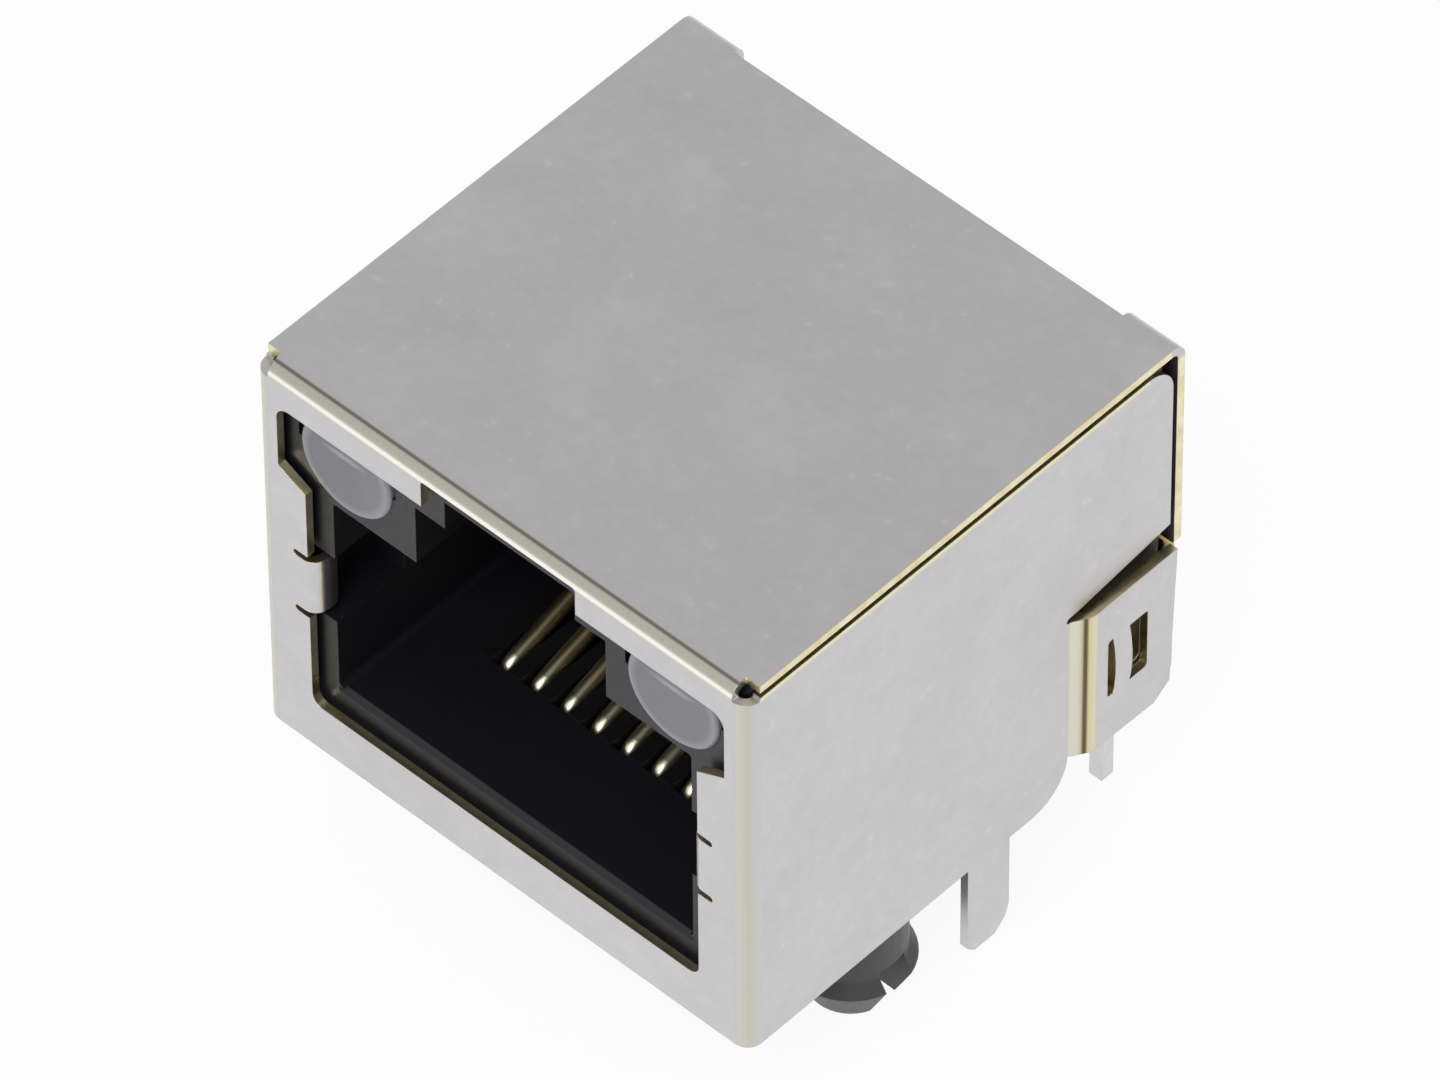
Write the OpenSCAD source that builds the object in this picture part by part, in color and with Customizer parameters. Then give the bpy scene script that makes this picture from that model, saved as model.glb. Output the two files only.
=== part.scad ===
// Shielded modular jack for a circuit board: right angle, latch slot up, two indicator lamps.
// The plug goes in along +Y, and the top of the circuit board is the plane z = 0: pins and pegs go
// down through it. Each part is drawn with the front face in the plane y = 0. on_board() then moves it
// so that the origin lies on the seat, 1.5 mm behind the front face.

/* [Shield] */
// Width across the shield's sides
body_w = 16.3; // [16.1:0.1:16.6]
// Height from the board to the top of the shield
body_h = 13.1; // [13:0.05:13.3]
// Depth from the front face to the back of the rear flap
body_d = 15.6; // [15.5:0.1:16.2]
// Thickness of the sheet metal
sheet = 0.25; // [0.2:0.01:0.26]
// Outside radius of the folds
fold_r = 0.46; // [0.4:0.02:0.5]
// Clear gap of the slits cut between panels
slit = 0.2; // [0.15:0.01:0.25]

/* [Front window] */
// Half width of the opening for the plug
window_half = 6.5; // [6.4:0.05:6.6]
// Half width across the two lamp windows
lamp_window_half = 7.4; // [7.3:0.02:7.5]
// Height of the lower bar of the front face
sill_h = 1.57; // [1.4:0.01:1.6]
// Height of the upper bar over the lamps
brow_h = 1.27; // [1.1:0.01:1.35]
// Height of the grounding springs beside the plug
spring_h = 1.85; // [1.4:0.05:2]
// Middle height of the grounding springs
spring_z = 5.82; // [5.5:0.02:6]

/* [Cavity] */
// Half width of the plug cavity
cavity_half = 5.95; // [5.9:0.01:6]
// Floor of the plug cavity
floor_z = 2.25; // [2.15:0.01:2.3]
// Ceiling of the plug cavity
ceiling_z = 9.0; // [8.95:0.01:9.05]
// Half width of the lower, wide part of the latch slot
latch_half = 3.15; // [3:0.05:3.2]
// Half width of the upper, narrow part of the latch slot
latch_neck_half = 2.15; // [2.05:0.05:2.3]

/* [Contacts] */
// Distance between neighbouring contacts
pitch = 1.016; // [1:0.002:1.02]
// Diameter of the contact wire
wire_d = 0.44; // [0.38:0.01:0.46]
// Slope of the spring part of each contact
wire_slope = 17; // [14:1:19]
// Distance between the two rows of contact tails
row_gap = 2.54; // [2.4:0.02:2.6]
// How far the contact tails reach below the board's top
tail_l = 3.2; // [2.8:0.1:3.3]

/* [Lamps] */
// Distance from the middle of the jack to each lamp
lamp_x = 5.42; // [5.4:0.01:5.45]
// Diameter of each lamp's lens
lamp_d = 3.0; // [2.9:0.02:3.04]
// Length of each lens
lamp_l = 4.6; // [4.2:0.1:5]
// Side of the square lamp leads
lead = 0.42; // [0.38:0.01:0.42]
// How far the lamp leads reach below the board's top
lead_l = 3.1; // [2.8:0.1:3.3]

/* [Board fixing] */
// Distance from the middle of the jack to each peg
peg_x = 6.35; // [6.2:0.05:6.4]
// Distance from the front face to the pegs
peg_y = 5.6; // [5.4:0.05:6]
// Radius of the pegs where they pass the board
peg_r = 1.45; // [1.35:0.01:1.5]
// Width of the slot that splits each peg
peg_slot = 0.9; // [0.7:0.05:0.9]
// Distance from the front face to the middle of the shield pins
pin_y = 8.65; // [8.5:0.05:8.8]

/* [Hidden] */
$fn = 48;
eps = 0.02;
half_w = body_w / 2;
seat_y = 1.5;
inner_half = half_w - sheet;
inner_top = body_h - sheet;
side_top = body_h - sheet - 0.12;
fold_in = fold_r - sheet;
// side panel: slit over the stepped corner, and the step that carries the rear flap's ear
step_z = 6.2;
step_y = 11.5;
step_out = 0.3;
step_back = 15.1;
side_back = body_d - sheet - slit;
ear_low = 1.35;
ear_front = 12.35;
// strap of the snap lock
lock_y = 12.6;
lock_low = 2.75;
lock_high = 4.8;
lock_w = 1.45;
corner_r = 1.3;
strap_w = 0.6;
// housing
front_y = 0.4;
rear_y = body_d - sheet - 0.15;
lamp_z = body_h - 2.36;
lamp_front = 0.3;
pocket_half_w = 1.62;
carrier_front = 3.55;
carrier_half = 4.4;
carrier_wall = 11.3;
carrier_rear = 14.1;
// contacts
contact_x = [for (i = [0:7]) (i - 3.5) * pitch];
bend_r = 0.5;
bend_y = 4.3;
run_z = 1.05;
tail_r = 0.45;
row_y = 9.66;
comb_tip_y = 11.9;
// lamps
lead_y = 14.5;
lead_pitch = 2.4;
cup_y = 2.0;

// Flat strip of sheet seen from its edge, as steps of [straight run, turn, inside radius]
module bent_strip(steps, thick, i = 0) {
    if (i < len(steps)) {
        run = steps[i][0];
        turn = steps[i][1];
        middle_r = steps[i][2] + thick / 2;
        side = turn < 0 ? -1 : 1;
        translate([0, -thick / 2]) square([run, thick]);
        translate([run, 0]) {
            if (turn != 0) translate([0, side * middle_r]) intersection() {
                difference() {
                    circle(middle_r + thick / 2);
                    circle(middle_r - thick / 2);
                }
                sector(-side * 90, turn, 2 * middle_r + thick);
            }
            translate([middle_r * sin(abs(turn)), side * middle_r * (1 - cos(turn))])
                rotate(turn) bent_strip(steps, thick, i + 1);
        }
    }
}

// Wedge that starts at one angle and turns by another, for cutting an arc out of a ring
module sector(start, turn, reach) {
    polygon(concat([[0, 0]], [for (k = [0:4]) reach * [cos(start + turn * k / 4), sin(start + turn * k / 4)]]));
}

// Round wire in the plane z = 0, as steps of [straight run, turn, middle radius]
module bent_wire(steps, d, i = 0) {
    if (i < len(steps)) {
        run = steps[i][0];
        turn = steps[i][1];
        radius = steps[i][2];
        side = turn < 0 ? -1 : 1;
        rotate([0, 90, 0]) cylinder(h = run, d = d);
        translate([run, 0, 0]) {
            if (turn != 0) translate([0, side * radius, 0]) rotate(-side * 90 + min(turn, 0))
                rotate_extrude(angle = abs(turn)) translate([radius, 0]) circle(d = d);
            translate([radius * sin(abs(turn)), side * radius * (1 - cos(turn)), 0])
                rotate(turn) bent_wire(steps, d, i + 1);
        }
    }
}

// Rectangle with its own radius at each corner: bottom left, bottom right, top right, top left
module round_rect(low, high, radii) {
    corners = [[low[0], low[1]], [high[0], low[1]], [high[0], high[1]], [low[0], high[1]]];
    inward = [[1, 1], [-1, 1], [-1, -1], [1, -1]];
    difference() {
        translate(low) square(high - low);
        for (k = [0:3]) if (radii[k] > 0) translate(corners[k]) difference() {
            translate([-1, -1]) square(2);
            translate([for (a = [0, 1]) inward[k][a] * radii[k]]) union() {
                circle(radii[k]);
                translate([inward[k][0] > 0 ? 0 : -3, -3]) square([3, 6]);
                translate([-3, inward[k][1] > 0 ? 0 : -3]) square([6, 3]);
            }
        }
    }
}

// Outline in the plane x = 0 (first axis y, second axis z) pushed out along x
module from_side(x0, x1) {
    translate([x0, 0, 0]) rotate([90, 0, 90]) linear_extrude(height = x1 - x0) children();
}

// Outline in the plane y = 0 (first axis x, second axis z) pushed back along y
module from_front(y0, y1) {
    translate([0, y1, 0]) rotate([90, 0, 0]) linear_extrude(height = y1 - y0) children();
}

// Moves a finished part from the drawing's origin at the front face to the one on the seat
module on_board() {
    translate([0, -seat_y, 0]) children();
}
module both_sides() {
    children();
    mirror([1, 0, 0]) children();
}

// Front face with both sides folded back from it
module wrap() {
    difference() {
        linear_extrude(height = side_top) difference() {
            round_rect([-half_w, 0], [half_w, side_back], [fold_r, fold_r, 0, 0]);
            round_rect([-inner_half, sheet], [inner_half, side_back + 1], [fold_in, fold_in, 0, 0]);
        }
        translate([-half_w - 1, -1, body_h - fold_r]) cube([body_w + 2, 1 + fold_r + eps, 1]);
        for (x = [-half_w - 1, inner_half - 1]) from_side(x, x + 2 + sheet) side_cuts();
    }
}

// What is cut from each side: slit, stepped corner, rounded corners at the back
module side_cuts() {
    translate([step_y, -1]) square([body_d, step_z + 1]);
    translate([step_y, step_z + slit / 2]) circle(d = slit);
    polygon([[step_y, step_z - eps], [body_d, step_z - eps], [body_d, step_z + slit + 0.5],
        [step_y + 0.3, step_z + slit], [step_y, step_z + slit]]);
    corner_cut();
    difference() {
        translate([side_back - 0.9, side_top - 0.9]) square(2);
        translate([side_back - 0.9, side_top - 0.9]) circle(0.9);
    }
}

// Top plate folded back from the front face, and rear flap folded down from the top plate
module canopy() {
    front_fold_half = half_w - 0.5;
    difference() {
        from_side(-half_w + 0.04, half_w - 0.04) difference() {
            round_rect([0, body_h - 1], [body_d, body_h], [0, 0, fold_r, fold_r]);
            round_rect([sheet, body_h - 2], [body_d - sheet, inner_top], [0, 0, fold_in, fold_in]);
            translate([-1, 0]) square([3, body_h - fold_r]);
        }
        both_sides() translate([front_fold_half, -1, body_h - 2]) cube([2, 1 + fold_r + 0.06, 3]);
        translate([-half_w + 1.7, body_d - 0.42, inner_top - 0.35]) cube([body_w - 3.4, 1, 2]);
    }
    from_front(body_d - sheet, body_d)
        round_rect([-half_w + 0.04, step_z - 0.3], [half_w - 0.04, body_h - 1 + eps], [0.1, 0.1, 0, 0]);
    difference() {
        translate([0, 0, ear_low]) linear_extrude(height = step_z - ear_low) difference() {
            round_rect([-half_w, ear_front], [half_w, body_d], [0, 0, fold_r, fold_r]);
            round_rect([-inner_half, ear_front - 1], [inner_half, body_d - sheet], [0, 0, fold_in, fold_in]);
        }
        translate([-half_w - 1, 0, step_z - 0.45]) cube([body_w + 2, body_d - fold_r - 0.1, 1]);
        both_sides() translate([half_w - fold_r - 0.15, body_d - 1, step_z - 0.45]) cube([2, 2, 1]);
        from_side(-half_w - 1, half_w + 1)
            round_rect([lock_y + 0.1, lock_low + 0.1], [lock_y + lock_w + 0.05, lock_high - 0.1], [0.2, 0.2, 0.2, 0.2]);
    }
    from_front(body_d - sheet, body_d)
        round_rect([-half_w + 1.2, 0.6], [half_w - 1.2, ear_low + 0.3], [0.4, 0.4, 0, 0]);
}

// Lower rear corner of a side, stepped outwards over the rear flap's ear, with its snap lock
module stepped_corner() {
    angle = 30;
    inside_r = 0.15;
    middle_r = inside_r + sheet / 2;
    slope_l = (step_out - 2 * middle_r * (1 - cos(angle))) / sin(angle);
    step_l = 2 * middle_r * sin(angle) + slope_l * cos(angle);
    lead_in = 0.3;
    intersection() {
        difference() {
            linear_extrude(height = step_z) translate([half_w - sheet / 2, step_y - lead_in]) rotate(90)
                bent_strip([[lead_in, -angle, inside_r], [slope_l, angle, inside_r],
                    [step_back - step_y - step_l, 0, 0]], sheet);
            from_side(half_w - 1, half_w + 1) {
                round_rect([lock_y, lock_low], [lock_y + lock_w, lock_high], [0.1, 0.1, 0.1, 0.1]);
                corner_cut();
            }
        }
        from_side(half_w - 1, half_w + 1)
            polygon([[step_y - lead_in, 1.35], [step_y + 0.1, 1.2], [step_back - 0.75, 1.1],
                [step_back - 0.2, 1.5], [step_back, step_z], [step_y - lead_in, step_z]]);
    }
    strap();
}

// Large rounding at the lower rear corner of the flat part of a side
module corner_cut() {
    difference() {
        translate([step_y - corner_r, -1]) square([corner_r, corner_r + 1]);
        translate([step_y - corner_r, corner_r]) circle(corner_r);
    }
}

// Upright strap across the snap lock's window, bowed inwards
module strap() {
    span = lock_high - lock_low + 0.2;
    bow = 0.12;
    bow_r = (span * span / 4 + bow * bow) / (2 * bow);
    out = half_w + step_out;
    intersection() {
        translate([out + bow - bow_r, lock_y + 0.17, (lock_low + lock_high) / 2]) rotate([-90, 0, 0])
            difference() {
                cylinder(h = strap_w, r = bow_r, $fn = 96);
                translate([0, 0, -1]) cylinder(h = strap_w + 2, r = bow_r - sheet, $fn = 96);
            }
        translate([out - sheet, lock_y, lock_low - 0.1]) cube([1, 2, span]);
    }
}

// Pin that goes through the board beside the housing
module board_pin() {
    from_side(inner_half, half_w)
        polygon([[pin_y - 0.75, 0.1], [pin_y - 0.75, -2.95], [pin_y - 0.5, -3.2], [pin_y + 0.25, -3.2],
            [pin_y + 0.62, -2.85], [pin_y + 0.75, -2.45], [pin_y + 0.75, 0.1]]);
}

// Grounding spring folded back into the plug cavity beside the plug
module grounding_spring() {
    translate([0, 0, spring_z - spring_h / 2]) linear_extrude(height = spring_h)
        translate([window_half + 0.5, sheet / 2]) rotate(180) mirror([0, 1])
            bent_strip([[0.36, 80, 0.14], [0.16, 60, 0.2], [0.5, 0, 0]], sheet);
}

// One-piece stamped and folded shield
module shield() {
    lamp_low = body_h - 3.45;
    color([0.78, 0.78, 0.77]) on_board() {
        difference() {
            union() {
                wrap();
                canopy();
                both_sides() stepped_corner();
                both_sides() board_pin();
            }
            from_front(-1, sheet + 0.3) {
                round_rect([-window_half, sill_h], [window_half, body_h - 2], [0.35, 0.35, 0, 0]);
                both_sides() {
                    round_rect([0, lamp_low], [lamp_window_half, body_h - brow_h], [0, 0, 0.45, 0]);
                    polygon([[window_half - eps, lamp_low - 0.45], [window_half, lamp_low - 0.45],
                        [lamp_window_half, lamp_low], [lamp_window_half, lamp_low + eps],
                        [window_half - eps, lamp_low + eps]]);
                    for (z = [spring_z - spring_h / 2 - slit / 2, spring_z + spring_h / 2 + slit / 2]) {
                        translate([window_half - eps, z - slit / 2]) square([0.4, slit]);
                        translate([window_half + 0.38, z]) circle(d = slit);
                    }
                    translate([window_half - eps, spring_z - spring_h / 2]) square([0.4, spring_h]);
                }
                round_rect([-2.55, body_h - 2], [2.55, body_h - fold_r + 0.08], [0, 0, 0.1, 0.1]);
            }
        }
        both_sides() grounding_spring();
    }
}

// Split peg that snaps into a hole in the board, slot along x
module peg() {
    translate([peg_x, peg_y, 0]) difference() {
        union() {
            translate([0, 0, -2.0]) cylinder(h = 2.0 + 0.1, r = peg_r);
            translate([0, 0, -2.4]) cylinder(h = 0.4, r1 = 1.68, r2 = peg_r);
            translate([0, 0, -3.5]) cylinder(h = 1.1, r1 = 1.15, r2 = 1.68);
        }
        translate([-2, -peg_slot / 2, -4]) cube([4, peg_slot, 2.25]);
    }
}

// Space in the housing's front for the plug and its latch
module plug_space() {
    from_front(-1, carrier_wall)
        round_rect([-cavity_half, floor_z], [cavity_half, ceiling_z], [0.2, 0.2, 0.1, 0.1]);
    translate([-cavity_half, 0, floor_z]) from_side(0, 2 * cavity_half)
        polygon([[front_y - 1, -0.15 - 1], [front_y, -0.15], [front_y + 0.15, 0.01], [front_y - 1, 0.01]]);
    from_front(-1, 9.2) {
        translate([-latch_half, ceiling_z - 0.1]) square([2 * latch_half, body_h - 2.1 - ceiling_z + 0.1]);
        translate([-latch_neck_half, ceiling_z]) square([2 * latch_neck_half, body_h - 1.15 - ceiling_z]);
    }
}

// Through pocket for one lamp: round cradle below, square above, open at the back for the leads
module lamp_pocket() {
    translate([lamp_x, 0, 0]) {
        from_front(-1, lamp_front + lamp_l) {
            translate([0, lamp_z]) circle(d = lamp_d);
            translate([-pocket_half_w, lamp_z]) square([2 * pocket_half_w, inner_top - lamp_z - 0.35]);
        }
        from_front(lamp_front + lamp_l - eps, rear_y + 1)
            translate([-pocket_half_w, lamp_z - 0.6]) square([2 * pocket_half_w, 1.2]);
    }
}

// Moulded housing with the plug cavity, lamp pockets and pegs
module housing() {
    color([0.1, 0.1, 0.11]) on_board() difference() {
        union() {
            difference() {
                linear_extrude(height = inner_top)
                    round_rect([-inner_half, front_y], [inner_half, rear_y], [0.5, 0.5, 0.3, 0.3]);
                from_side(-half_w, half_w) polygon([[0, inner_top - 0.4], [front_y, inner_top - 0.4],
                    [front_y + 0.4, inner_top], [front_y + 0.4, inner_top + 1], [0, inner_top + 1]]);
                from_side(-half_w, half_w) polygon([[rear_y - 0.4, inner_top + 1], [rear_y - 0.4, inner_top],
                    [rear_y, inner_top - 0.4], [rear_y + 1, inner_top - 0.4], [rear_y + 1, inner_top + 1]]);
            }
            both_sides() peg();
        }
        plug_space();
        both_sides() lamp_pocket();
        // room for the contact carrier, which goes in from below and behind
        translate([-carrier_half, carrier_front, -1]) cube([2 * carrier_half, body_d, floor_z + 1]);
        from_front(carrier_wall - eps, body_d) translate([-cavity_half, -1])
            square([2 * cavity_half, ceiling_z + 1]);
        // grooves for the lamp leads, the inner ones above the carrier only
        both_sides() for (x = [lamp_x - lead_pitch / 2, lamp_x + lead_pitch / 2])
            translate([x - lead / 2, lead_y - lead / 2, -1]) cube([lead, 2, lamp_z + 1]);
        // clear of the rounded corners of the shield's sides, low at the back
        both_sides() translate([half_w - 0.8, step_y - 0.4, -1]) cube([2, body_d, 2.3]);
        // recesses for the grounding springs
        both_sides() translate([cavity_half - 0.1, front_y - 1, spring_z - spring_h / 2 - 0.25])
            cube([1.3, 3.4, spring_h + 0.5]);
    }
}

// Moulded carrier that holds the contacts: slotted base and upright comb
module contact_carrier() {
    color([0.12, 0.12, 0.13]) on_board() difference() {
        union() {
            translate([-carrier_half, carrier_front, 0.25])
                cube([2 * carrier_half, carrier_rear - carrier_front, floor_z - 0.25]);
            from_front(carrier_wall, carrier_rear)
                round_rect([-cavity_half, floor_z], [cavity_half, ceiling_z], [0, 0, 0, 0]);
            // ribs behind the carrier, on each side of the inner lamp leads
            both_sides() translate([lamp_x - lead_pitch / 2 - 1.1, carrier_rear - eps, 0.25])
                cube([2.2, rear_y - carrier_rear + eps, ceiling_z - 1]);
        }
        for (i = [0:7]) translate([contact_x[i], 0, 0]) {
            tail_y = row_y + (i % 2) * row_gap;
            floor_of_slot = run_z - wire_d / 2;
            translate([-0.29, carrier_front - 1, floor_of_slot])
                cube([0.58, carrier_wall - carrier_front + 1, 3]);
            translate([-wire_d / 2, carrier_front, floor_of_slot])
                cube([wire_d, tail_y + wire_d / 2 - carrier_front, 0.75]);
            translate([-wire_d / 2, tail_y - 0.75, 0]) cube([wire_d, 0.75 + wire_d / 2, run_z]);
            // comb slot behind the free end
            translate([-0.29, carrier_wall - 1, floor_z + 0.4]) cube([0.58, 1.9, 3.6]);
        }
        both_sides() translate([lamp_x - lead_pitch / 2 - lead / 2, lead_y - lead / 2, -1])
            cube([lead, 2, body_h]);
        // moulding recess in the back
        translate([-1.8, carrier_rear - 1.4, 3.2]) cube([3.6, 2, 4.6]);
    }
}

// One contact: free end in the comb, spring part down to the front bend, run under it, tail
module contact(i) {
    tail_y = row_y + (i % 2) * row_gap;
    spring_l = (comb_tip_y - bend_y) / cos(wire_slope);
    loop_y = bend_y - bend_r * sin(wire_slope);
    loop_z = run_z + bend_r + bend_r * cos(wire_slope);
    color([0.85, 0.68, 0.3]) on_board() translate([contact_x[i], 0, 0]) rotate([90, 0, 90])
        translate([loop_y + spring_l * cos(wire_slope), loop_z + spring_l * sin(wire_slope), 0])
            rotate(180 + wire_slope) bent_wire([[spring_l, 180 - wire_slope, bend_r],
                [tail_y - tail_r - bend_y, -90, tail_r], [run_z - tail_r + tail_l, 0, 0]], wire_d);
}

// Places the parts of a lamp on the right as drawn, and on the left as a mirror image
module lamp_side(side) {
    if (side == "left") mirror([1, 0, 0]) translate([lamp_x, 0, 0]) children();
    else translate([lamp_x, 0, 0]) children();
}

// Square lead: back along the housing, then down through the board
module lead_run(x, start_y) {
    down_r = 0.15;
    from_side(x - lead / 2, x + lead / 2) translate([start_y, lamp_z])
        bent_strip([[lead_y - start_y - down_r - lead / 2, -90, down_r],
            [lamp_z - down_r - lead / 2 + lead_l, 0, 0]], lead);
}

module anode_shape() {
    lead_run(lead_pitch / 2, cup_y + 0.3);
    translate([lead_pitch / 2 - 0.5, cup_y + 0.3, lamp_z - lead / 2]) cube([0.5, 0.3, lead]);
}

// Cathode lead with the cup that holds the die
module cathode_shape() {
    lead_run(-lead_pitch / 2, cup_y + 0.3);
    difference() {
        translate([-lead_pitch / 2, cup_y, lamp_z]) rotate([-90, 0, 0]) union() {
            translate([0, -lead / 2, 0.3]) cube([lead_pitch / 2, lead, 0.5]);
            translate([lead_pitch / 2, 0, 0]) cylinder(h = 0.8, r = 0.5);
        }
        translate([0, cup_y - eps, lamp_z]) rotate([-90, 0, 0]) cylinder(h = 0.4 + eps, r1 = 0.42, r2 = 0.22);
    }
}

module die_shape() {
    translate([-0.14, cup_y + 0.23, lamp_z - 0.14]) cube([0.28, 0.17, 0.28]);
}

// Flat-fronted lens, moulded around its leads and die
module lens_shape() {
    edge = 0.12;
    translate([0, lamp_front, lamp_z]) rotate([-90, 0, 0]) rotate_extrude()
        difference() {
            square([lamp_d / 2, lamp_l]);
            difference() {
                translate([lamp_d / 2 - edge, -1]) square([2, 1 + edge]);
                translate([lamp_d / 2 - edge, edge]) circle(edge);
            }
        }
}

module lens(side) {
    color([0.5, 0.51, 0.54, 0.9]) on_board() lamp_side(side) difference() {
        lens_shape();
        anode_shape();
        cathode_shape();
        die_shape();
    }
}

module anode_lead(side) {
    color([0.75, 0.75, 0.74]) on_board() lamp_side(side) anode_shape();
}

module cathode_lead(side) {
    color([0.75, 0.75, 0.74]) on_board() lamp_side(side) cathode_shape();
}

module die(side) {
    color([0.85, 0.8, 0.45]) on_board() lamp_side(side) die_shape();
}

shield();
housing();
contact_carrier();
contact(0);  // contact_1
contact(1);  // contact_2
contact(2);  // contact_3
contact(3);  // contact_4
contact(4);  // contact_5
contact(5);  // contact_6
contact(6);  // contact_7
contact(7);  // contact_8
lens("left");  // left_lamp_lens
anode_lead("left");  // left_lamp_anode_lead
cathode_lead("left");  // left_lamp_cathode_lead
die("left");  // left_lamp_die
lens("right");  // right_lamp_lens
anode_lead("right");  // right_lamp_anode_lead
cathode_lead("right");  // right_lamp_cathode_lead
die("right");  // right_lamp_die
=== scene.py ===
# %% [markdown]
# # A shielded modular jack for a circuit board
# The jack is a folded sheet metal shield around a black moulded housing. Eight gold wires rise from the
# floor of the plug cavity, and two round lamps with milky lenses sit above it. The measured parts come
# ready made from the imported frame, and this script gives them their finishes and adds what is too fine
# for the frame: rounded sheet edges and the bond wires inside the lamps.

# %% Load the frame
import math

import bpy
from mathutils import Matrix, Vector


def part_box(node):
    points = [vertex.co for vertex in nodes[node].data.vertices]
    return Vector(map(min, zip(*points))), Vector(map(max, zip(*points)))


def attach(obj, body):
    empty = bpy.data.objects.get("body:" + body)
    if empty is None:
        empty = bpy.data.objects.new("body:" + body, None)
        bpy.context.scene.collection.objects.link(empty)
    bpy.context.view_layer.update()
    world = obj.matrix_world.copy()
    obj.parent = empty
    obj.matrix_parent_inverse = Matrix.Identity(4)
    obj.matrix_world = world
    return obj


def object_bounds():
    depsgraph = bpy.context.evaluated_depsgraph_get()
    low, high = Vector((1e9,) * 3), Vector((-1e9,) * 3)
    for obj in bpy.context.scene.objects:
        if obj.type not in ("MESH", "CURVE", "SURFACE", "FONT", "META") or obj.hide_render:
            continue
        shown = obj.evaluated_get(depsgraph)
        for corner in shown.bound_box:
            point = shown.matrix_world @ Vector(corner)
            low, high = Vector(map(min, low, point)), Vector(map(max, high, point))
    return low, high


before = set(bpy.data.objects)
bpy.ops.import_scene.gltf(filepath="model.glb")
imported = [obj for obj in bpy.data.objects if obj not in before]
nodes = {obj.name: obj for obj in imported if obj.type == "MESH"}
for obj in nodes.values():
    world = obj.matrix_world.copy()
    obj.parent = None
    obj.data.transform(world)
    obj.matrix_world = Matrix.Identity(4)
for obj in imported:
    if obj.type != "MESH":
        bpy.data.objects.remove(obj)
cad_box = [list(corner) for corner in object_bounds()]
MM = 0.001
shield_low, shield_high = [Vector(corner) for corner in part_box("shield")]
print("parts in the frame:", len(nodes))
print("shield measures", [round(side / MM, 2) for side in shield_high - shield_low], "mm")

# %% [markdown]
# ## Camera
# A long lens from a good distance keeps the edges of a small product nearly parallel, as in a catalogue.
# The camera could be dragged into place by hand, but it is placed here by two angles and a distance from
# the point that it looks at, so its numbers can be read and changed one at a time.

# %% Place the camera
AZIMUTH = math.radians(43.33)
ELEVATION = math.radians(48.46)
ROLL = math.radians(-0.46)
DISTANCE = 400 * MM
AIM = Vector((-0.26, 6.54, 5.7)) * MM
FOCAL_LENGTH = 408.4
NEAREST_SEEN, FARTHEST_SEEN = 0.01, 10


def camera_axes():
    along_floor = math.cos(ELEVATION)
    back = Vector((math.sin(AZIMUTH) * along_floor, -math.cos(AZIMUTH) * along_floor,
                   math.sin(ELEVATION)))
    right = Vector((0, 0, 1)).cross(back).normalized()
    up = back.cross(right)
    turned_right = math.cos(ROLL) * right + math.sin(ROLL) * up
    turned_up = math.cos(ROLL) * up - math.sin(ROLL) * right
    return turned_right, turned_up, back


def add_camera():
    right, up, back = camera_axes()
    data = bpy.data.cameras.new("camera")
    data.lens = FOCAL_LENGTH
    data.clip_start = NEAREST_SEEN
    data.clip_end = FARTHEST_SEEN
    camera = bpy.data.objects.new("camera", data)
    place = Matrix((right, up, back)).transposed().to_4x4()
    place.translation = AIM + DISTANCE * back
    camera.matrix_world = place
    bpy.context.scene.collection.objects.link(camera)
    bpy.context.scene.camera = camera
    return camera


camera = add_camera()
print("camera stands", round(camera.location.length, 3), "m from the jack's origin")

# %% [markdown]
# ## Writing shader maths as expressions
# A mask such as "the edges of the top plate" is a short sum in words but a tangle of Math nodes. The
# class below wraps a socket, so that Python's own operators add the nodes, and one method makes any
# other node from its type, its settings and its inputs.

# %% A socket that can be written in sums
ONE_NUMBER = ("ABSOLUTE", "SQRT")


class Value:
    """A number that varies over the surface. Sums on it become Math nodes in its finish."""

    def __init__(self, finish, socket):
        self.finish = finish
        self.socket = socket

    def _maths(self, operation, first, second=None):
        node = self.finish.node("ShaderNodeMath", operation=operation)
        self.finish.feed(node.inputs[0], first)
        if operation not in ONE_NUMBER:
            self.finish.feed(node.inputs[1], second)
        return Value(self.finish, node.outputs[0])

    def __add__(self, other):
        return self._maths("ADD", self, other)

    __radd__ = __add__

    def __sub__(self, other):
        return self._maths("SUBTRACT", self, other)

    def __rsub__(self, other):
        return self._maths("SUBTRACT", other, self)

    def __mul__(self, other):
        return self._maths("MULTIPLY", self, other)

    __rmul__ = __mul__

    def __truediv__(self, other):
        return self._maths("DIVIDE", self, other)

    def __gt__(self, other):
        return self._maths("GREATER_THAN", self, other)

    def __lt__(self, other):
        return self._maths("LESS_THAN", self, other)

    def __abs__(self):
        return self._maths("ABSOLUTE", self)

    def root(self):
        return self._maths("SQRT", self)

    def most(self, other):
        return self._maths("MAXIMUM", self, other)


print("sums on sockets ready")

# %% A material under construction
ROUNDED_EDGE = 0.03 * MM


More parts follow.
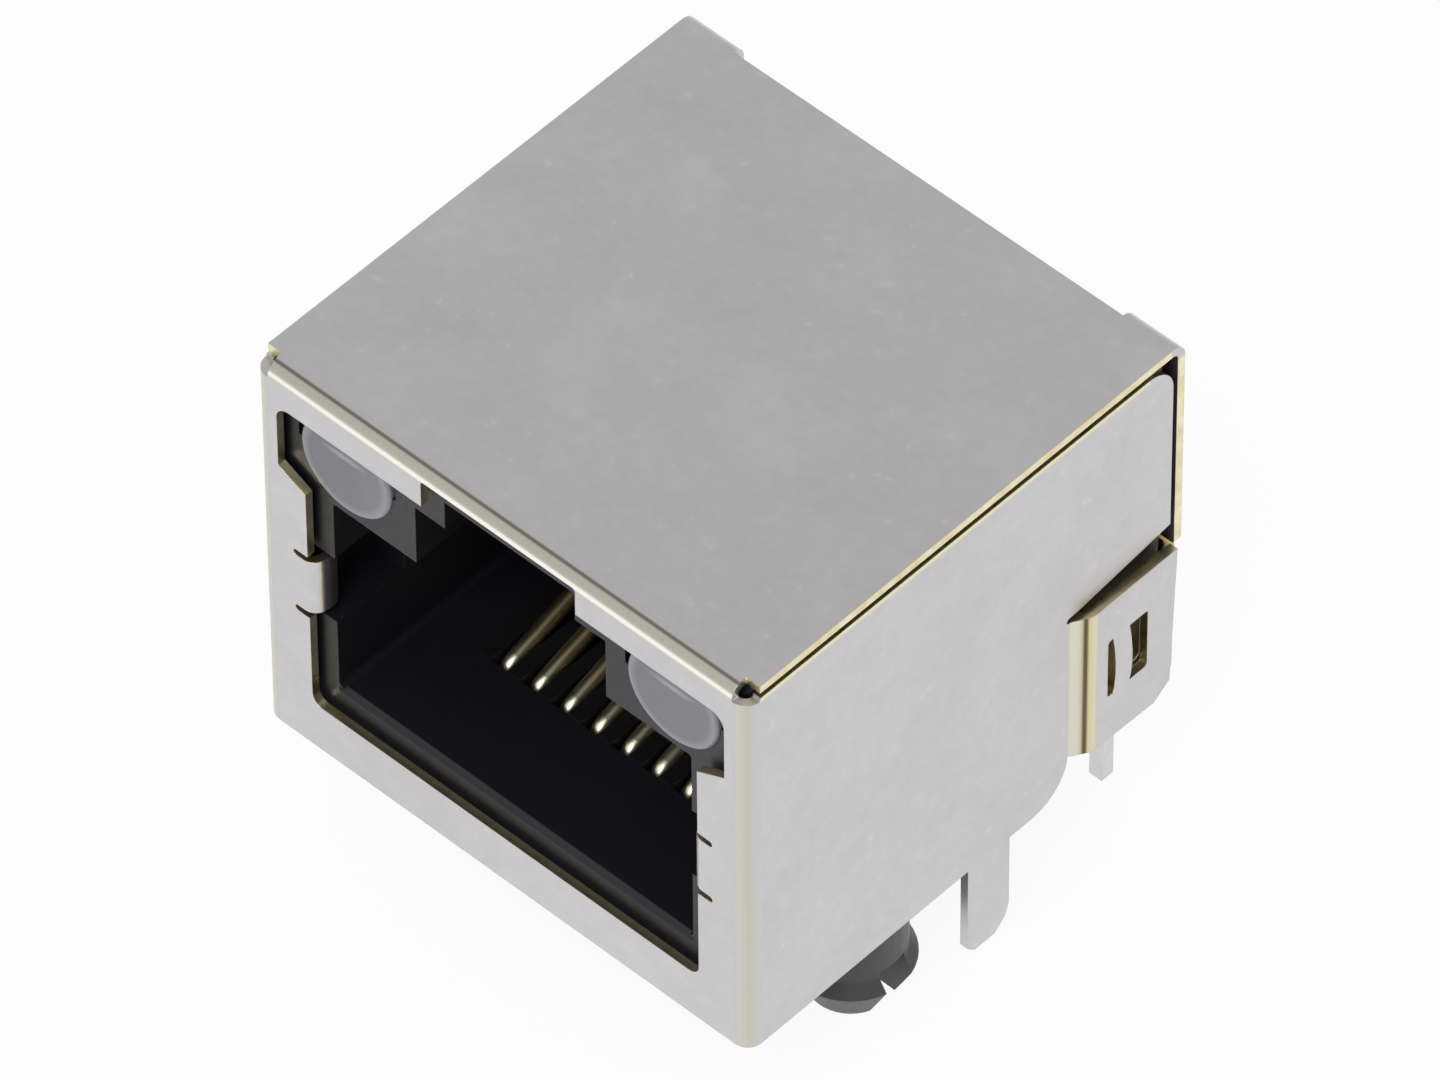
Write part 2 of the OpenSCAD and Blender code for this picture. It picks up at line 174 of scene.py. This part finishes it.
class Finish:
    """One material: its nodes, its surface shader, and short ways to read place and normal."""

    def __init__(self, name, **surface):
        self.material = bpy.data.materials.new(name)
        self.material.use_nodes = True
        self.tree = self.material.node_tree
        self.tree.nodes.clear()
        output = self.tree.nodes.new("ShaderNodeOutputMaterial")
        self.surface = self.node("ShaderNodeBsdfPrincipled", inputs=surface)
        self.tree.links.new(self.surface.outputs[0], output.inputs["Surface"])

    def feed(self, socket, item):
        if isinstance(item, Value):
            item = item.socket
        if isinstance(item, bpy.types.NodeSocket):
            self.tree.links.new(item, socket)
        elif isinstance(item, (tuple, list)) and len(item) == 3 and socket.type == "RGBA":
            socket.default_value = (*item, 1)
        else:
            socket.default_value = item

    def node(self, kind, inputs=None, ramp=None, **settings):
        made = self.tree.nodes.new(kind)
        for name, setting in settings.items():
            setattr(made, name, setting)
        if ramp:
            elements = made.color_ramp.elements
            while len(elements) < len(ramp):
                elements.new(0.5)
            for element, (place, colour) in zip(elements, ramp):
                element.position = place
                element.color = (*colour, 1)
        for name, item in (inputs or {}).items():
            self.feed(made.inputs[name], item)
        return made

    def place(self):
        return self.node("ShaderNodeTexCoord").outputs["Object"]

    def xyz(self, vector):
        parts = self.node("ShaderNodeSeparateXYZ", inputs={0: vector})
        return [Value(self, parts.outputs[k]) for k in range(3)]

    def normal(self):
        return self.xyz(self.node("ShaderNodeNewGeometry").outputs["True Normal"])

    def smooth_normal(self):
        return self.xyz(self.node("ShaderNodeNewGeometry").outputs["Normal"])

    def noise(self, scale, detail, roughness, vector=None):
        made = self.node("ShaderNodeTexNoise", inputs={"Vector": vector or self.place(), "Scale": scale,
                                                       "Detail": detail, "Roughness": roughness})
        return Value(self, made.outputs["Fac"])

    def ramp(self, value, *stops):
        return self.node("ShaderNodeValToRGB", inputs={0: value}, ramp=stops).outputs["Color"]

    def mix(self, mask, first, second):
        """The first colour where the mask is 0 and the second where it is 1."""
        made = self.node("ShaderNodeMix", data_type="RGBA")
        self.feed(made.inputs[0], mask)
        self.feed(made.inputs[6], first)
        self.feed(made.inputs[7], second)
        return made.outputs[2]

    def stretch(self, scale):
        made = self.node("ShaderNodeMapping", inputs={"Vector": self.place(), "Scale": scale})
        return made.outputs[0]

    def bump(self, height, strength, distance):
        """A fine relief on faces whose edges catch light as if they were rounded."""
        rounded = self.node("ShaderNodeBevel", samples=4, inputs={"Radius": ROUNDED_EDGE})
        made = self.node("ShaderNodeBump", inputs={"Height": height, "Strength": strength,
                                                   "Distance": distance, "Normal": rounded.outputs[0]})
        self.feed(self.surface.inputs["Normal"], made.outputs[0])

    def set(self, **links):
        for name, item in links.items():
            self.feed(self.surface.inputs[name.replace("_", " ")], item)


print("shader helpers ready")

# %% [markdown]
# ## Plated sheet
# The shield is brass sheet, nickel plated before it is stamped. The plating is smooth but not polished,
# with faint rolling lines and a few fine specks. Where the punch cut through, the yellow brass shows. A
# mask finds those cut edges from the direction that a face looks in and where it lies: on a side panel,
# for instance, every face that doesn't look sideways is a cut edge. The pins below the board's top are
# left out of the mask, because they are dipped in tin after the sheet is cut.

# %% Find the cut edges of the sheet
SHEET = 0.25 * MM
FOLD = 0.46 * MM
SLACK = 0.02 * MM
FRONT, BACK, TOP = shield_low.y, shield_high.y, shield_high.z
SIDE = 8.15 * MM
BOARD_TOP = 0.05 * MM
ASLANT = 0.4


def cut_edges(place, normal):
    x, y, z = place
    nx, ny, nz = normal
    deep = y > FRONT + FOLD + SLACK
    on_side = (abs(x) > SIDE - SHEET - SLACK) * (abs(nx) < ASLANT) * deep
    on_side = on_side * (z < TOP - SHEET - SLACK) * (y < BACK - FOLD - SLACK)
    on_top = (z > TOP - SHEET - SLACK) * (abs(nz) < ASLANT) * deep * (y < BACK - FOLD - SLACK)
    on_front = (y < FRONT + SHEET + SLACK) * (abs(ny) < ASLANT) * (abs(x) < SIDE - FOLD - SLACK)
    on_front = on_front * (z < TOP - FOLD + SLACK)
    on_back = (y > BACK - SHEET - SLACK) * (abs(ny) < ASLANT) * (z < TOP - FOLD - SLACK)
    return on_side.most(on_top).most(on_front).most(on_back) * (z > BOARD_TOP)


print("sheet", round(SHEET / MM, 2), "mm thick, folds reach", round(FOLD / MM, 2), "mm in")

# %% [markdown]
# Light and shade that the folds would catch are painted into the plating's colour. Along the fold at the
# front of the top, a painted highlight runs at its lower side and a dull band ending in a dark line of
# painted reflection at its upper side. Along the step at the back corners, a pale painted highlight, a dark
# line of painted shade and a yellow line like bare brass run across it. The front corner folds get a faint
# painted sheen, and the side panels a painted highlight just under the top seam.

# %% Painted highlights and shade along the folds
# Each line is a list of places across it, from 0 to 1, and the colour painted there, highlight and shade
# included.
PLAIN = (0.6, 0.59, 0.57)
TOP_FOLD_HIGHLIGHT_AND_SHADE = ((0.0, (0.6, 0.59, 0.59)), (0.16, (0.66, 0.65, 0.6)), (0.24, (1.0, 0.98, 0.9)),
            (0.4, (1.0, 0.97, 0.86)), (0.47, (0.66, 0.64, 0.55)), (0.84, (0.58, 0.56, 0.48)),
            (0.895, (0.2, 0.18, 0.15)), (0.935, (0.24, 0.22, 0.19)), (0.965, (0.6, 0.59, 0.59)))
STEP = ((0.0, PLAIN), (0.14, (0.74, 0.72, 0.6)), (0.36, (0.72, 0.7, 0.6)),
        (0.45, (0.6, 0.55, 0.36)), (0.52, (0.12, 0.1, 0.06)), (0.59, (0.16, 0.13, 0.07)),
        (0.66, (0.72, 0.65, 0.38)), (0.86, (0.76, 0.71, 0.5)), (1.0, PLAIN))
CORNER_SHEEN = ((0.0, (0.6, 0.59, 0.59)), (0.3, (0.64, 0.63, 0.57)), (0.75, (0.6, 0.585, 0.49)),
          (0.97, (0.61, 0.6, 0.6)))
SEAM = ((0.0, (0.9, 0.84, 0.5)), (0.45, (0.86, 0.82, 0.56)), (1.0, (0.63, 0.615, 0.58)))
STEP_START, STEP_LENGTH, STEP_TOP = FRONT + 11.45 * MM, 0.78 * MM, 6.2 * MM
SEAM_TOP, SEAM_WIDTH = TOP - 0.37 * MM, 0.16 * MM
SEAM_END = BACK - 1.3 * MM
FACING_SIDE = 0.9
FACING_FRONT = -0.02
UPRIGHT = 0.5


def fold_light_and_shade(finish, plating, place, normal):
    x, y, z = place
    nx, ny, nz = normal
    along_top = (y < FRONT + FOLD + SLACK) * (z > TOP - FOLD - SLACK) * (ny < FACING_FRONT)
    # a painted highlight and a dark line of painted reflection along the fold at the front of the top
    lined = finish.mix(along_top, plating, finish.ramp(nz, *TOP_FOLD_HIGHLIGHT_AND_SHADE))
    at_step = (y > STEP_START) * (y < STEP_START + STEP_LENGTH) * (abs(x) > SIDE - SLACK * 0.5)
    at_step = at_step * (z < STEP_TOP) * (abs(nz) < UPRIGHT)
    across = (y - STEP_START) / STEP_LENGTH
    # paints a pale highlight band, a dark line of shade and a yellow line like bare brass across the step
    lined = finish.mix(at_step, lined, finish.ramp(across, *STEP))
    at_corner = (y < FRONT + FOLD + SLACK) * (abs(x) > SIDE - FOLD - SLACK) * (z < TOP - FOLD)
    # paints a faint sheen across the front corner folds, changing with the way they face
    lined = finish.mix(at_corner, lined, finish.ramp(abs(nx), *CORNER_SHEEN))
    below_seam = (SEAM_TOP - z) / SEAM_WIDTH
    at_seam = (abs(nx) > FACING_SIDE) * (y > FRONT + FOLD) * (y < SEAM_END)
    at_seam = at_seam * (below_seam < 1.0) * (z < SEAM_TOP)
    # paints a cream highlight on the side panels, fading down from just under the top seam
    return finish.mix(at_seam, lined, finish.ramp(below_seam, *SEAM))


# the stops paint highlights and shade along the folds
print("stops in the rubbed lines:", len(TOP_FOLD_HIGHLIGHT_AND_SHADE) + len(STEP) + len(CORNER_SHEEN) + len(SEAM))

# %% [markdown]
# The plating itself could be one grey, but a broad cloud, fine specks and stretched noise for the rolling
# lines keep it from looking like paint. The same three patterns also vary how sharply it reflects.

# %% Plated sheet material
DULL_NICKEL, NICKEL, BRIGHT_NICKEL = (0.572, 0.56, 0.566), (0.617, 0.605, 0.612), (0.662, 0.65, 0.656)
SPECK = (0.665, 0.655, 0.655)
DULL_BRASS, BRIGHT_BRASS = (0.74, 0.64, 0.36), (0.9, 0.84, 0.6)
ROLLING_STRETCH = (250, 5200, 1200)


def plated_sheet():
    finish = Finish("plated_sheet", Metallic=1.0, Roughness=0.3)
    place = finish.xyz(finish.place())
    cloud = finish.noise(300, 3, 0.65)
    specks = finish.noise(2300, 2, 0.7)
    rolling = finish.noise(1, 4, 0.6, finish.stretch(ROLLING_STRETCH))
    plating = finish.ramp(cloud * 0.65 + specks * 0.35, (0.3, DULL_NICKEL), (0.5, NICKEL),
                          (0.7, BRIGHT_NICKEL))
    plating = finish.mix(specks > 0.7, plating, SPECK)
    # highlights and shade painted along the folds
    lined = fold_light_and_shade(finish, plating, place, finish.smooth_normal())
    edges = cut_edges(place, finish.normal())
    brass = finish.ramp(specks, (0.3, DULL_BRASS), (0.7, BRIGHT_BRASS))
    finish.set(Base_Color=finish.mix(edges, lined, brass),
               Roughness=0.27 + rolling * 0.1 + cloud * 0.06 - edges * 0.06)
    finish.bump(rolling * 0.5 + specks * 0.5, 0.16, 0.004 * MM)
    return finish.material


sheet_material = plated_sheet()
print("plated sheet:", len(sheet_material.node_tree.nodes), "nodes")

# %% [markdown]
# ## Black mouldings
# Housing and carrier are glass-filled plastic. It is nearly black, slightly blue where light falls on it,
# with a fine even grain that breaks up its highlights. One function makes both, because they differ only
# in their black and in the size of the grain. The pegs stand in open light and look greyer than the walls
# of the cavity, so the height of a point chooses between two colours.

# %% Black plastic material
HOUSING_BLACK, CARRIER_BLACK, PEG_GREY = (0.0085, 0.0085, 0.012), (0.007, 0.007, 0.008), (0.05, 0.05, 0.053)
HOUSING_GRAIN, CARRIER_GRAIN = 5200, 6100


def black_moulding(name, colour, grain):
    finish = Finish(name, Roughness=0.5, IOR=1.5)
    fine = finish.noise(grain, 3, 0.6)
    broad = finish.noise(300, 2, 0.5)
    darker = tuple(part * 0.8 for part in colour)
    inside = finish.ramp(broad, (0.3, darker), (0.7, colour))
    below_board = finish.xyz(finish.place())[2] < 0.0
    finish.set(Base_Color=finish.mix(below_board, inside, PEG_GREY), Roughness=0.36 + fine * 0.16)
    finish.bump(fine, 0.2, 0.006 * MM)
    return finish.material


housing_material = black_moulding("black_moulding", HOUSING_BLACK, HOUSING_GRAIN)
carrier_material = black_moulding("carrier_moulding", CARRIER_BLACK, CARRIER_GRAIN)
print("black mouldings:", len(housing_material.node_tree.nodes), "nodes each")

# %% [markdown]
# ## Contacts and leads
# The contact wires carry a smooth gold plating, drawn lengthwise, so the noise is stretched along them.
# Their front bends, where light from the front falls on them, get a painted highlight: a ramp over the
# distance from the front fades that in. The lamp leads are tinned, which is a duller, cloudier grey.

# %% Gold wire and tinned lead
WHITE, MIDDLE_GREY, BLACK = (1.0, 1.0, 1.0), (0.5, 0.5, 0.5), (0.0, 0.0, 0.0)
DEEP_GOLD, PALE_GOLD, LIT_GOLD = (0.8, 0.63, 0.32), (0.9, 0.75, 0.44), (1.0, 0.93, 0.68)
DULL_TIN, BRIGHT_TIN = (0.6, 0.6, 0.6), (0.7, 0.7, 0.69)
BEND_START, BEND_FADE = 2.0 * MM, 1.4 * MM
DRAWN_STRETCH = (9000, 700, 700)


def gold_wire():
    finish = Finish("gold_wire", Metallic=1.0, Roughness=0.3)
    y = finish.xyz(finish.place())[1]
    drawn = finish.noise(1, 3, 0.6, finish.stretch(DRAWN_STRETCH))
    plain = finish.ramp(drawn, (0.3, DEEP_GOLD), (0.7, PALE_GOLD))
    # painted highlight on the front bends, fading out towards the back
    lit_bend = finish.ramp((y - BEND_START) / BEND_FADE, (0.0, WHITE), (0.5, WHITE), (1.0, BLACK))
    finish.set(Base_Color=finish.mix(lit_bend, plain, LIT_GOLD), Roughness=0.26 + drawn * 0.14)
    finish.bump(drawn, 0.1, 0.003 * MM)
    return finish.material


def tinned_lead():
    finish = Finish("tinned_lead", Metallic=1.0, Roughness=0.35)
    cloud = finish.noise(1400, 3, 0.6)
    finish.set(Base_Color=finish.ramp(cloud, (0.3, DULL_TIN), (0.7, BRIGHT_TIN)),
               Roughness=0.26 + cloud * 0.16)
    finish.bump(cloud, 0.15, 0.004 * MM)
    return finish.material


wire_material, lead_material = gold_wire(), tinned_lead()
print("gold wire:", len(wire_material.node_tree.nodes), "nodes")

# %% [markdown]
# ## Lamps
# A diffusing lens is epoxy filled with fine white powder: light enters, scatters and comes out milky
# grey. True scattering in so small a piece is slow and grainy to render, so the lens is an opaque glossy
# grey instead. The distance from the lamp's axis gives it a painted rim highlight, and a flat oval above
# the axis gives it a painted highlight streak, like the reflection that a window leaves in real epoxy.

# %% Lens and chip
LAMP_X, LAMP_Z, LAMP_RADIUS = 5.42 * MM, 10.74 * MM, 1.5 * MM
MILK_DARK, MILK_LIGHT = (0.15, 0.152, 0.168), (0.178, 0.18, 0.197)
RIM_HIGHLIGHT, STREAK_HIGHLIGHT = (0.36, 0.375, 0.4), (0.5, 0.52, 0.55)
STREAK_RISE = 0.42 * MM
STREAK_WIDE, STREAK_FLAT = 3.2, 160
CHIP_DARK, CHIP_LIGHT = (0.6, 0.55, 0.25), (0.7, 0.65, 0.33)


def milky_lens():
    finish = Finish("milky_lens", Roughness=0.16, IOR=1.5)
    x, _, z = finish.xyz(finish.place())
    across, above = abs(x) - LAMP_X, z - LAMP_Z
    radius = (across * across + above * above).root() / LAMP_RADIUS
    cloud = finish.noise(500, 2, 0.5)
    body = finish.ramp(cloud, (0.3, MILK_DARK), (0.7, MILK_LIGHT))
    # painted rim highlight, lighter towards the lens's edge
    rim = finish.ramp(radius, (0.0, BLACK), (0.78, BLACK), (0.93, MIDDLE_GREY), (1.0, (0.2, 0.2, 0.2)))
    lit = finish.mix(rim, body, RIM_HIGHLIGHT)
    above = above - STREAK_RISE
    far = (across * across * STREAK_WIDE + above * above * STREAK_FLAT).root() / LAMP_RADIUS
    # painted highlight streak above the lamp's axis
    streak = finish.ramp(far, (0.0, (0.55, 0.55, 0.55)), (0.55, (0.3, 0.3, 0.3)), (1.0, BLACK))
    finish.set(Base_Color=finish.mix(streak, lit, STREAK_HIGHLIGHT), Roughness=0.12 + cloud * 0.08)
    return finish.material


def lamp_die():
    finish = Finish("lamp_die", Roughness=0.3)
    cloud = finish.noise(4000, 2, 0.5)
    finish.set(Base_Color=finish.ramp(cloud, (0.3, CHIP_DARK), (0.7, CHIP_LIGHT)),
               Roughness=0.25 + cloud * 0.1)
    return finish.material


lens_material, die_material = milky_lens(), lamp_die()
print("milky lens:", len(lens_material.node_tree.nodes), "nodes")

# %% [markdown]
# ## Putting the finishes on
# The measured parts keep their shapes, and only their materials change. A part's name says what it is:
# three parts have finishes of their own, the lamps' parts are found by how their names end, and what is
# left are the gold contacts.

# %% Give every part of the frame its finish
FINISHES = {"shield": sheet_material, "housing": housing_material, "contact_carrier": carrier_material}
ENDINGS = {"_lens": lens_material, "_lead": lead_material, "_die": die_material}


def finish_for(name):
    if name in FINISHES:
        return FINISHES[name]
    for ending, material in ENDINGS.items():
        if name.endswith(ending):
            return material
    return wire_material


for name, part in nodes.items():
    part.data.materials.clear()
    part.data.materials.append(finish_for(name))
print("finished", len(nodes), "parts")

# %% [markdown]
# ## Bond wires
# Inside each lens a gold wire, finer than a hair, arches from the chip to the top of the anode lead. It
# is too fine for the measured parts, so Geometry Nodes draws it: a curve between two points, given the
# thickness of the wire. The group's inputs have names, and both lamps use the same group.

# %% A node group that draws one arched wire
WIRE_INPUTS = (("Start", "NodeSocketVector"), ("End", "NodeSocketVector"), ("Rise", "NodeSocketFloat"),
               ("Wire Radius", "NodeSocketFloat"), ("Steps", "NodeSocketInt"),
               ("Material", "NodeSocketMaterial"))
SIDES_OF_RING = 10


def arched_wire_group():
    tree = bpy.data.node_groups.new("arched_wire", "GeometryNodeTree")
    tree.interface.new_socket("Wire", in_out="OUTPUT", socket_type="NodeSocketGeometry")
    for name, kind in WIRE_INPUTS:
        tree.interface.new_socket(name, in_out="INPUT", socket_type=kind)

    def node(kind, settings=None, **inputs):
        # an input is named in words, or by _ and its number where names repeat
        made = tree.nodes.new(kind)
        for name, setting in (settings or {}).items():
            setattr(made, name, setting)
        for name, item in inputs.items():
            socket = made.inputs[int(name[1:]) if name[0] == "_" else name.replace("_", " ")]
            if isinstance(item, bpy.types.NodeSocket):
                tree.links.new(item, socket)
            else:
                socket.default_value = item
        return made

    given = tree.nodes.new("NodeGroupInput").outputs
    middle = node("ShaderNodeMix", {"data_type": "VECTOR"}, _0=0.5, _4=given["Start"], _5=given["End"])
    towards_front = node("ShaderNodeCombineXYZ", Y=given["Rise"])
    top = node("ShaderNodeVectorMath", {"operation": "SUBTRACT"}, _0=middle.outputs[1],
               _1=towards_front.outputs[0])
    path = node("GeometryNodeCurveQuadraticBezier", Resolution=given["Steps"], Start=given["Start"],
                Middle=top.outputs[0], End=given["End"])
    ring = node("GeometryNodeCurvePrimitiveCircle", Resolution=SIDES_OF_RING, Radius=given["Wire Radius"])
    wire = node("GeometryNodeCurveToMesh", Curve=path.outputs[0], Profile_Curve=ring.outputs[0],
                Fill_Caps=True)
    real = node("GeometryNodeRealizeInstances", Geometry=wire.outputs[0])
    done = node("GeometryNodeSetMaterial", Geometry=real.outputs[0], Material=given["Material"])
    tree.links.new(done.outputs[0], tree.nodes.new("NodeGroupOutput").inputs[0])
    return tree


wire_group = arched_wire_group()
print("arched wire group:", len(wire_group.nodes), "nodes")

# %% One bond wire in each lamp
BOND_IN_FROM_EDGE = 0.18 * MM
BOND_RISE = 0.45 * MM
BOND_RADIUS = 0.014 * MM
BOND_STEPS = 24


def add_bond_wire(lamp):
    die_low, die_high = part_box(lamp + "_lamp_die")
    lead_low, lead_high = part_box(lamp + "_lamp_anode_lead")
    die_middle = (die_low + die_high) / 2
    side = 1 if die_middle.x > 0 else -1
    tip_x = (lead_low.x if side > 0 else lead_high.x) + side * BOND_IN_FROM_EDGE
    holder = bpy.data.objects.new(lamp + "_lamp_bond_wire", bpy.data.meshes.new("empty"))
    bpy.context.scene.collection.objects.link(holder)
    modifier = holder.modifiers.new("wire", "NODES")
    modifier.node_group = wire_group
    values = {"Start": (die_middle.x, die_low.y, die_middle.z),
              "End": (tip_x, lead_low.y, die_middle.z),
              "Rise": BOND_RISE, "Wire Radius": BOND_RADIUS, "Steps": BOND_STEPS,
              "Material": wire_material}
    for item in wire_group.interface.items_tree:
        if item.item_type == "SOCKET" and item.in_out == "INPUT":
            modifier[item.identifier] = values[item.name]
    holder.update_tag()
    drawn = holder.evaluated_get(bpy.context.evaluated_depsgraph_get())
    mesh = bpy.data.meshes.new_from_object(drawn)
    holder.modifiers.clear()
    holder.data = mesh
    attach(holder, "root")
    return holder


bond_wires = [add_bond_wire(lamp) for lamp in ("left", "right")]
print("bond wires:", [len(wire.data.polygons) for wire in bond_wires], "faces")

# %% [markdown]
# ## Studio
# A white floor lights the jack from below, and a grey surround gives the top plate something calmer to
# mirror. Bright lamps could make the floor white, but they would bleach the jack too. So the floor mostly
# glows white towards the camera and in reflections, and a small share of plain white paint in it keeps
# the jack's shadow.

# %% Floor
FLOOR_Z = cad_box[0][2] - 0.02 * MM
FLOOR_REACH = 1.5
FLOOR_PAINT = (0.9, 0.9, 0.9, 1)
GLOW_SHARE = 0.93


def white_floor():
    mesh = bpy.data.meshes.new("floor")
    corners = ((-1, -1), (1, -1), (1, 1), (-1, 1))
    mesh.from_pydata([(FLOOR_REACH * x, FLOOR_REACH * y, FLOOR_Z) for x, y in corners], [], [(0, 1, 2, 3)])
    floor = bpy.data.objects.new("floor", mesh)
    bpy.context.scene.collection.objects.link(floor)
    finish = Finish("floor", Roughness=0.9)
    finish.surface.inputs["Base Color"].default_value = FLOOR_PAINT
    glow = finish.node("ShaderNodeEmission", inputs={"Color": (1, 1, 1, 1), "Strength": 1.0})
    rays = finish.node("ShaderNodeLightPath")
    seen = Value(finish, rays.outputs["Is Camera Ray"]).most(Value(finish, rays.outputs["Is Glossy Ray"]))
    blend = finish.node("ShaderNodeMixShader", inputs={1: finish.surface.outputs[0], 2: glow.outputs[0]})
    finish.feed(blend.inputs[0], seen * GLOW_SHARE)
    output = next(node for node in finish.tree.nodes if node.type == "OUTPUT_MATERIAL")
    finish.tree.links.new(blend.outputs[0], output.inputs["Surface"])
    mesh.materials.append(finish.material)
    return floor


floor = white_floor()
print("floor at", round(FLOOR_Z / MM, 2), "mm")

# %% [markdown]
# One large soft lamp stands in front, to the right and above, and points at the jack. The grey surround
# does the rest, so no face falls into black.

# %% World and lamp
SURROUND_GREY = (0.66, 0.66, 0.665, 1)
LAMP_PLACE, LAMP_SIZE, LAMP_POWER = (0.15, -0.35, 0.45), 0.25, 1.2


def set_world():
    world = bpy.data.worlds.new("studio")
    world.use_nodes = True
    background = world.node_tree.nodes["Background"]
    background.inputs["Color"].default_value = SURROUND_GREY
    background.inputs["Strength"].default_value = 1.0
    bpy.context.scene.world = world


def soft_light(name, place, size, power):
    data = bpy.data.lights.new(name, "AREA")
    data.size = size
    data.energy = power
    lamp = bpy.data.objects.new(name, data)
    lamp.location = place
    lamp.rotation_euler = (-Vector(place)).to_track_quat("-Z", "Y").to_euler()
    bpy.context.scene.collection.objects.link(lamp)


set_world()
soft_light("key", LAMP_PLACE, LAMP_SIZE, LAMP_POWER)
bpy.context.scene.view_settings.view_transform = "Standard"
print("studio lit")

# %% [markdown]
# ## Sizes
# The box of the measured parts is printed. The dressed jack has to stay inside the box of the
# measured parts.

# %% Sizes, and the end of the script
print("frame box", cad_box)
